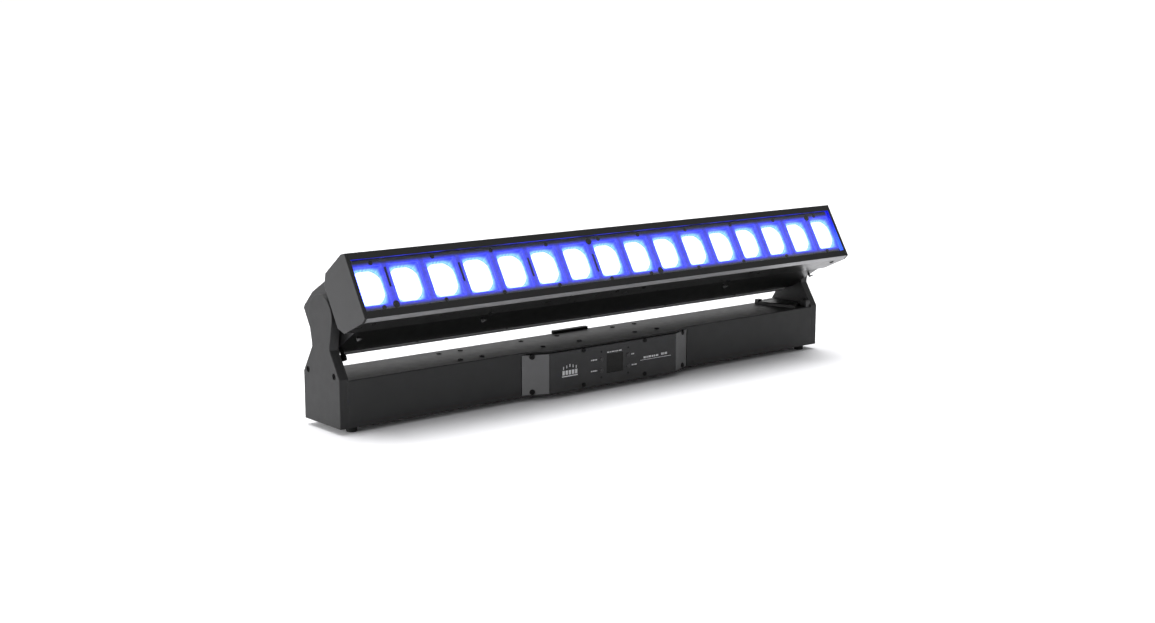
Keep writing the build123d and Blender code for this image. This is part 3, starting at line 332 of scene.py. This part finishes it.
def reflector_light():
    """Fluted reflector between a lens and its window, brightest beside the lens."""
    m = Material("reflector_glow")
    dx, f, u = m.cell_place()
    angle = m.math("ARCTAN2", u, dx)
    rays = m.node("ShaderNodeTexNoise")
    rays.noise_dimensions = "1D"
    rays.inputs["Scale"].default_value = 9.0
    rays.inputs["Detail"].default_value = 3.0
    m.feed(rays.inputs["W"], angle)
    streaks = m.ease(rays.outputs["Fac"], 0.3, 0.7, 0.75, 1.3)
    near = m.ease(f, LENS_RIM_F, LENS_RIM_F + 6.7 * MM, 1.0, 0.0)
    glow = m.blend(near, SPILL_COLOUR, HALO_COLOUR)
    light = m.math("MULTIPLY", m.ease(f, LENS_RIM_F, LENS_RIM_F + 6.2 * MM, 3.6, 1.15), streaks)
    m.surface(Base_Color=(0.01, 0.015, 0.08), Metallic=0.4, Roughness=0.35, Emission_Color=glow,
              Emission_Strength=light, Normal=m.bump(rays.outputs["Fac"], 0.2 * MM, 0.5))
    return m.material


def end_glow(m, u):
    """Colour of the lit end walls of the window, deeper towards the top."""
    return m.blend(m.ease(u, -26 * MM, 30 * MM), END_COLOUR, DEEP_COLOUR)


def frame_paint(name, ends):
    """Frame paint with a bare bevel, and inner walls that mirror the lit cells."""
    m = Material(name)
    x, f, u = m.head_place()
    cloud = m.noise(70 * MM, 4.0)
    base = m.ramp(cloud, (0.25, grey(0.010)), (0.75, grey(0.016)))
    rubbed = m.blend(m.math("MULTIPLY", m.edges(0.8 * MM), 0.25), base, grey(0.07))
    from_middle = m.math("ABSOLUTE", u)
    bevel = m.ease(from_middle, FRAME_FACE_U + 0.1 * MM, FRAME_FACE_U + 0.3 * MM)
    brushed = m.ramp(m.noise(3 * MM, 4.0, 0.6, (12, 1, 1)), (0.3, grey(0.27)), (0.7, grey(0.36)))
    inner_u = m.ease(from_middle, FRAME_LIP_U + 0.08 * MM, FRAME_LIP_U + 0.02 * MM)
    below_face = m.ease(f, FRAME_FACE_F - 0.15 * MM, FRAME_FACE_F, 1.0, 0.0)
    inner_x = m.ease(m.math("ABSOLUTE", x), END_WALL_X + 0.08 * MM, END_WALL_X + 0.02 * MM)
    inner = m.math("MULTIPLY", m.math("MULTIPLY", inner_u, inner_x), below_face)
    patches = m.ease(m.noise(45 * MM, 2.0, 0.5, (1, 0.3, 0.3)), 0.35, 0.62, 0.12, 0.9)
    strength = m.ease(u, -30 * MM, 34 * MM, END_LIGHT_LOW, END_LIGHT_HIGH) if ends else patches
    m.surface(Base_Color=m.blend(bevel, rubbed, brushed), Metallic=m.math("MULTIPLY", bevel, 0.85),
              Roughness=m.ease(bevel, 0.0, 1.0, 0.5, 0.34), Specular_IOR_Level=0.2,
              Emission_Color=end_glow(m, u) if ends else SPILL_COLOUR,
              Emission_Strength=m.math("MULTIPLY", inner, strength),
              Normal=m.bump(m.noise(0.7 * MM, 3.0), 0.035 * MM, 0.5, 0.5 * MM))
    return m.material


def gasket_light():
    """Black foam strip whose end walls catch the light of the last cells."""
    m = Material("gasket_glow")
    x, f, u = m.head_place()
    at_end = m.ease(m.math("ABSOLUTE", x), GASKET_X - 0.3 * MM, GASKET_X - 0.2 * MM)
    fading = m.ease(u, -30 * MM, 36 * MM, END_LIGHT_LOW, END_LIGHT_HIGH)
    strength = m.math("MULTIPLY", at_end, fading)
    m.surface(Base_Color=m.ramp(m.noise(2 * MM), (0.3, grey(0.006)), (0.7, grey(0.012))), Roughness=0.8,
              Emission_Color=end_glow(m, u), Emission_Strength=strength,
              Normal=m.bump(m.noise(0.5 * MM, 3.0), 0.05 * MM, 0.8))
    return m.material


def window_glass():
    """Clear pane that lets lamp light through."""
    m = Material("clear_pane")
    smear = m.ease(m.noise(60 * MM, 4.0), 0.4, 0.75, 0.0, 0.05)
    glass = m.surface(Base_Color=(0.97, 0.98, 1.0), Roughness=smear, IOR=1.45, Transmission_Weight=1.0)
    clear = m.node("ShaderNodeBsdfTransparent")
    path = m.node("ShaderNodeLightPath")
    switch = m.node("ShaderNodeMixShader")
    m.feed(switch.inputs[0], path.outputs["Is Shadow Ray"])
    m.tree.links.new(glass.outputs[0], switch.inputs[1])
    m.tree.links.new(clear.outputs[0], switch.inputs[2])
    m.tree.links.new(switch.outputs[0], m.output.inputs["Surface"])
    return m.material


def display_glass():
    """Dark unlit display with a faint cell grid."""
    m = Material("dark_display")
    grid = m.node("ShaderNodeTexBrick")
    grid.offset = 0.0
    grid.inputs["Scale"].default_value = 1.0 / (0.55 * MM)
    grid.inputs["Mortar Size"].default_value = 0.06
    grid.inputs["Brick Width"].default_value = 1.0
    grid.inputs["Row Height"].default_value = 1.0
    turned = m.node("ShaderNodeMapping")
    turned.inputs["Rotation"].default_value = (math.pi / 2, 0, 0)
    m.feed(turned.inputs["Vector"], m.place)
    m.feed(grid.inputs["Vector"], turned.outputs[0])
    colour = m.blend(grid.outputs["Fac"], (0.006, 0.006, 0.0045), (0.004, 0.004, 0.003))
    m.surface(Base_Color=colour, Roughness=0.15, Specular_IOR_Level=0.12)
    return m.material


def ink(name, tone):
    """Screen-printed ink, slightly broken up; a faint one also paints the highlight rings round the
    buttons.
    """
    m = Material(name)
    worn = m.ease(m.noise(0.9 * MM, 4.0, 0.6), 0.25, 0.5, 0.5, 1.0)
    m.surface(Base_Color=m.blend(worn, grey(tone * 0.35), grey(tone)), Roughness=0.55)
    return m.material


def board_green():
    m = Material("circuit_board")
    traces = m.ease(m.noise(2.5 * MM, 2.0, 0.5, (4, 0.6, 1)), 0.48, 0.54)
    m.surface(Base_Color=m.blend(traces, (0.01, 0.09, 0.04), (0.02, 0.2, 0.09)), Roughness=0.35)
    return m.material


def floor_white():
    """Pale floor that shows and mirrors in full, and lights the batten from below only a little."""
    m = Material("pale_floor")
    colour = m.ramp(m.noise(0.9, 2.0), (0.3, grey(0.94)), (0.7, grey(0.97)))
    shown = m.surface(Base_Color=colour, Roughness=0.9, Specular_IOR_Level=0.1)
    dim = m.node("ShaderNodeBsdfDiffuse")
    dim.inputs["Color"].default_value = (0.25, 0.25, 0.25, 1)
    path = m.node("ShaderNodeLightPath")
    switch = m.node("ShaderNodeMixShader")
    m.feed(switch.inputs[0], path.outputs["Is Diffuse Ray"])
    m.tree.links.new(shown.outputs[0], switch.inputs[1])
    m.tree.links.new(dim.outputs[0], switch.inputs[2])
    m.tree.links.new(switch.outputs[0], m.output.inputs["Surface"])
    return m.material


# ---- mesh building -------------------------------------------------------------------
def make_piece(name, mesh_points, faces, material, body):
    mesh = bpy.data.meshes.new(name)
    mesh.from_pydata([tuple(p) for p in mesh_points], [], faces)
    mesh.update()
    piece = bpy.data.objects.new(name, mesh)
    bpy.context.scene.collection.objects.link(piece)
    mesh.materials.append(material)
    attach(piece, body)
    return piece


def solid_from(outlines, place, thickness):
    """Points and faces of closed plates from flat outlines; place maps (a, b, depth) to a point."""
    points, faces = [], []
    for outline in outlines:
        start, count = len(points), len(outline)
        points += [place(a, b, 0.0) for a, b in outline]
        points += [place(a, b, thickness) for a, b in outline]
        faces.append([start + i for i in range(count)])
        faces.append([start + count + i for i in reversed(range(count))])
        for i in range(count):
            j = (i + 1) % count
            faces.append([start + j, start + i, start + count + i, start + count + j])
    return points, faces


def fix_normals(piece):
    mesh = bmesh.new()
    mesh.from_mesh(piece.data)
    bmesh.ops.recalc_face_normals(mesh, faces=mesh.faces)
    mesh.to_mesh(piece.data)
    mesh.free()
    return piece


def reflectors(material):
    """Fluted funnels from each lens outline out to its window."""
    count, rings = 96, 5
    back_f, front_f = LENS_RIM_F + 0.1 * MM, BEZEL_FACE_F - 1.4 * MM
    points, faces = [], []
    for x in CELL_X:
        start = len(points)
        for ring in range(rings):
            t = ring / (rings - 1)
            f = back_f + (front_f - back_f) * t ** 1.3
            for i in range(count):
                angle = 2 * math.pi * (i + 0.5) / count
                c, s = abs(math.cos(angle)), abs(math.sin(angle))
                lens = min(LENS_R + 0.25 * MM, (LENS_HALF_X + 0.15 * MM) / c,
                           (LENS_HALF_U + 0.3 * MM) / s)
                window = min((WINDOW_HALF_X - 0.06 * MM) / c, (WINDOW_HALF_U - 0.06 * MM) / s)
                flute = 0.12 * MM * (i % 2) * math.sin(math.pi * t)
                reach = lens + (window - lens) * t - flute
                points.append(head_point(x + reach * math.cos(angle), f, reach * math.sin(angle)))
        for ring in range(rings - 1):
            for i in range(count):
                j = (i + 1) % count
                a, b = start + ring * count, start + (ring + 1) * count
                faces.append([a + i, a + j, b + j, b + i])
    piece = make_piece("cell_reflectors", points, faces, material, "head")
    return fix_normals(piece)


def bar(a, b, width, height):
    """Rectangle centred on (a, b), in millimetres."""
    w, h = width / 2, height / 2
    return [(a - w, b - h), (a + w, b - h), (a + w, b + h), (a - w, b + h)]


def arc_band(a, b, inner, outer, start, end):
    """Band of a ring between two angles in degrees."""
    steps = 8
    turns = [math.radians(start + (end - start) * i / steps) for i in range(steps + 1)]
    outside = [(a + outer * math.cos(t), b + outer * math.sin(t)) for t in turns]
    inside = [(a + inner * math.cos(t), b + inner * math.sin(t)) for t in reversed(turns)]
    return outside + inside


def dashes(a, b, widths, height, gap):
    """Row of short bars that stands for a printed legend, starting at a."""
    row = []
    for width in widths:
        row.append(bar(a + width / 2, b, width, height))
        a += width + gap
    return row


# Rows of short bars: left end, middle height, widths, height and gap, in millimetres on the panel.
LEGENDS = (
    (-50.0, 43.6, (2.4, 3.2, 2.0, 2.2), 1.9, 0.8),
    (-50.2, 25.8, (3.0, 2.2, 3.6, 1.6), 1.9, 0.8),
    (35.2, 43.4, (2.2, 3.4), 1.9, 0.8),
    (36.2, 25.4, (3.2, 2.0, 4.0), 1.9, 0.8),
    (-16.4, 52.6, (4.2, 3.0, 5.0, 2.4, 4.6, 6.0), 1.7, 1.1),
    (62.0, 34.2, (5.0, 2.6, 6.4, 3.4, 2.6, 5.2), 3.0, 1.5),
    (101.0, 35.2, (3.8, 2.4, 4.6), 3.6, 1.2),
)
BUTTON_X, BUTTON_Z = 28.5, (43.0, 25.0)
PICTOGRAM_X, PICTOGRAM_Z, PICTOGRAM_PITCH = -106.3, 31.0, 6.4


def panel_print(white, faint):
    """Generic marks on the control panel: a batten pictogram, legends and a rule, and thin rings of
    faint ink that paint the highlights round the buttons.
    """
    marks, rings = [], []
    for i in range(5):
        x = PICTOGRAM_X + PICTOGRAM_PITCH * i
        ray = PICTOGRAM_Z + 7.6 + 1.6 * (2 - abs(i - 2))
        marks.append(bar(x, PICTOGRAM_Z, 4.6, 7.0))
        marks.append(bar(x, ray, 1.6, 4.6))
    marks.append(bar(PICTOGRAM_X + 2 * PICTOGRAM_PITCH, PICTOGRAM_Z - 5.8, 32.0, 1.7))
    for legend in LEGENDS:
        marks += dashes(*legend)
    marks.append(bar(89.0, 30.2, 68.0, 0.7))
    # painted highlights: faint ink rings round the buttons
    for side in (-1, 1):
        for z in BUTTON_Z:
            for part in range(4):
                rings.append(arc_band(side * BUTTON_X, z, 4.15, 4.5, 90 * part, 90 * part + 90))

    def place(a, b, depth):
        return Vector((a * MM, PANEL_Y + 0.02 * MM - depth, b * MM))

    for name, outlines, material in (("panel_print", marks, white), ("button_ring_highlights", rings, faint)):
        points, faces = solid_from(outlines, place, 0.07 * MM)
        fix_normals(make_piece(name, points, faces, material, "base"))


# ---- stage ---------------------------------------------------------------------------
CAMERA_AT = Vector((-1.63584, -1.91841, 0.54843))
CAMERA_TURN = (math.radians(90 - 9.913), 0.0, math.radians(-40.059))
CAMERA_ROLL = math.radians(0.086)
CAMERA_LENS = 49.15             # millimetres on a 36 mm sensor
SKY_TURN = Vector((0.25, 0.95, 0.2))    # towards the bright side of the surroundings
SKY_FRONT, SKY_BACK = 0.31, 1.05        # their strength on the dim side and on the bright side
SUN_STRENGTH, SUN_SPREAD = 2.8, 52.0
SUN_TURN = (-0.04, -0.10, -1.0)
SOFTBOX_AT, SOFTBOX_TOWARDS = (-2.6, -0.2, 0.56), (-0.4, 0.0, 0.1)
SOFTBOX_SIZE, SOFTBOX_WATTS = (1.8, 1.0), 39.0


def add_camera():
    camera = bpy.data.objects.new("camera", bpy.data.cameras.new("camera"))
    camera.data.lens = CAMERA_LENS
    camera.data.sensor_width = 36.0
    camera.data.clip_end = 200.0
    camera.location = CAMERA_AT
    turn = Euler(CAMERA_TURN).to_matrix() @ Matrix.Rotation(CAMERA_ROLL, 3, "Z")
    camera.rotation_euler = turn.to_euler()
    bpy.context.scene.collection.objects.link(camera)
    bpy.context.scene.camera = camera


def add_floor():
    half = 40.0                 # metres, far beyond the view
    mesh = bpy.data.meshes.new("floor")
    corners = [(-half, -half), (half, -half), (half, half), (-half, half)]
    mesh.from_pydata([(x, y, FLOOR_Z) for x, y in corners], [], [(0, 1, 2, 3)])
    floor = bpy.data.objects.new("floor", mesh)
    floor.data.materials.append(floor_white())
    bpy.context.scene.collection.objects.link(floor)


def add_softbox(name, at, towards, width, height, watts):
    data = bpy.data.lights.new(name, "AREA")
    data.shape = "RECTANGLE"
    data.size, data.size_y = width, height
    data.energy = watts
    lamp = bpy.data.objects.new(name, data)
    lamp.location = at
    lamp.rotation_euler = (Vector(towards) - Vector(at)).to_track_quat("-Z", "Y").to_euler()
    bpy.context.scene.collection.objects.link(lamp)


def add_sun(strength, spread, direction):
    data = bpy.data.lights.new("sky_light", "SUN")
    data.energy = strength
    data.angle = math.radians(spread)
    lamp = bpy.data.objects.new("sky_light", data)
    lamp.rotation_euler = Vector(direction).to_track_quat("-Z", "Y").to_euler()
    bpy.context.scene.collection.objects.link(lamp)


def add_world():
    """White behind the batten, falling to a dim front, for soft reflections."""
    world = bpy.data.worlds.new("studio")
    world.use_nodes = True
    tree = world.node_tree
    back = tree.nodes["Background"]
    back.inputs["Color"].default_value = (1, 1, 1, 1)
    place = tree.nodes.new("ShaderNodeTexCoord")
    dot = tree.nodes.new("ShaderNodeVectorMath")
    dot.operation = "DOT_PRODUCT"
    dot.inputs[1].default_value = SKY_TURN.normalized()
    fade = tree.nodes.new("ShaderNodeMapRange")
    fade.interpolation_type = "SMOOTHSTEP"
    limits = {"From Min": -0.35, "From Max": 0.75, "To Min": SKY_FRONT, "To Max": SKY_BACK}
    for name, number in limits.items():
        fade.inputs[name].default_value = number
    tree.links.new(place.outputs["Generated"], dot.inputs[0])
    tree.links.new(dot.outputs["Value"], fade.inputs["Value"])
    tree.links.new(fade.outputs["Result"], back.inputs["Strength"])
    bpy.context.scene.world = world


bpy.context.scene.view_settings.view_transform = "Standard"
add_camera()
add_floor()
add_world()
add_sun(SUN_STRENGTH, SUN_SPREAD, SUN_TURN)
add_softbox("left_softbox", SOFTBOX_AT, SOFTBOX_TOWARDS, *SOFTBOX_SIZE, SOFTBOX_WATTS)

# ---- finishes of the CAD nodes -------------------------------------------------------
base_paint = paint("base_powder_coat", 0.021, 0.49, shine=0.28)
arm_paint = paint("arm_powder_coat", 0.020, 0.5, shine=0.28)
head_paint = paint("head_powder_coat", 0.014, 0.32, depth=0.010 * MM, shine=0.32)
housing_paint = paint("housing_powder_coat", 0.006, 0.30, depth=0.008 * MM, shine=0.5)
# rear cover: the head coat with a painted highlight along its lower lip
rear_paint_and_lip_highlight = paint("rear_powder_coat_and_lip_highlight", 0.014, 0.32, depth=0.010 * MM, shine=0.32, lip_highlight_tone=0.3)
# body panels and side plates: a darker copy of the head coat that paints the shade under the head, with
# a painted highlight along the lower lip
shaded_body_paint_and_lip_highlight = paint("body_coat_painted_shade_and_lip_highlight", 0.004, 0.32, depth=0.010 * MM, shine=0.3, lip_highlight_tone=0.16)
panel_paint = paint("panel_grey_coat", 0.17, 0.5, shine=0.35)
overlay_film = plastic("overlay_film", 0.024, 0.45, 0.3, 0.5 * MM)
cover_plastic = plastic("cover_plastic", 0.012, 0.4)
socket_black = plastic("socket_black", 0.014, 0.38)
aluminium = metal("aluminium", (0.62, 0.63, 0.65), 0.4, (1, 6, 1))
steel = metal("ground_steel", (0.5, 0.5, 0.52), 0.3)
zinc = metal("zinc_plate", (0.52, 0.51, 0.48), 0.4)
FINISHES = {
    base_paint: ("base_housing", "base_bottom_plate", "rear_connector_plate"),
    arm_paint: ("yoke_arms", "arm_covers"),
    head_paint: ("end_caps",),
    housing_paint: ("head_front_housing",),
    rear_paint_and_lip_highlight: ("rear_cover",),
    shaded_body_paint_and_lip_highlight: ("head_body_panels", "head_side_plates"),
    frame_paint("frame_rail_paint", False): ("front_frame_rails",),
    frame_paint("frame_end_paint", True): ("front_frame_ends",),
    panel_paint: ("panel_housing",),
    overlay_film: ("panel_overlay",),
    cover_plastic: ("cable_cover", "corner_boss"),
    plastic("button_plastic", 0.016, 0.35): ("button_upper_left", "button_lower_left",
                                             "button_upper_right", "button_lower_right"),
    display_glass(): ("display_window", "display_module"),
    screw_black(): ("base_screws", "panel_screws", "head_screws", "rear_safety_bracket"),
    rubber("foot_rubber", 0.016): ("rubber_feet", "tilt_belt"),
    # panel gasket: a real foam strip, made near-black to paint the shade in the gap above the control
    # panel
    rubber("gap_foam_painted_shade", 0.0015): ("panel_gasket",),
    gasket_light(): ("glass_gasket",),
    bezel_light(): ("lens_bezels",),
    lens_light(): ("lenses",),
    window_glass(): ("front_glass",),
    tinted_plastic("socket_blue", (0.02, 0.07, 0.4)): ("power_inlet",),
    tinted_plastic("socket_grey", (0.32, 0.33, 0.35)): ("power_outlet",),
    socket_black: ("data_inlet", "data_outlet", "network_ports"),
    aluminium: ("heat_sink", "lens_carrier", "mixer_plate", "tilt_pulley", "tilt_motor_pulley"),
    steel: ("tilt_bearings", "tilt_shafts", "zoom_guide_rods", "left_zoom_screw", "right_zoom_screw"),
    zinc: ("mounting_inserts", "power_supply"),
    plastic("motor_black", 0.02, 0.4): ("tilt_motor", "zoom_motors", "fan_frames",
                                        "left_fan_rotor", "right_fan_rotor"),
    board_green(): ("control_board", "driver_board"),
    tinted_plastic("white_board", (0.6, 0.6, 0.6)): ("led_board", "led_emitters", "light_mixers"),
}


def finish_node(name, material):
    node = nodes[name]
    if not node.material_slots:
        node.data.materials.append(material)
    for slot in node.material_slots:
        slot.material = material


for material, names in FINISHES.items():
    for name in names:
        finish_node(name, material)

reflectors(reflector_light())
# white ink for the print, and a faint ink for the painted highlight rings round the buttons
panel_print(ink("white_ink", 0.95), ink("ring_highlight_ink", 0.07))
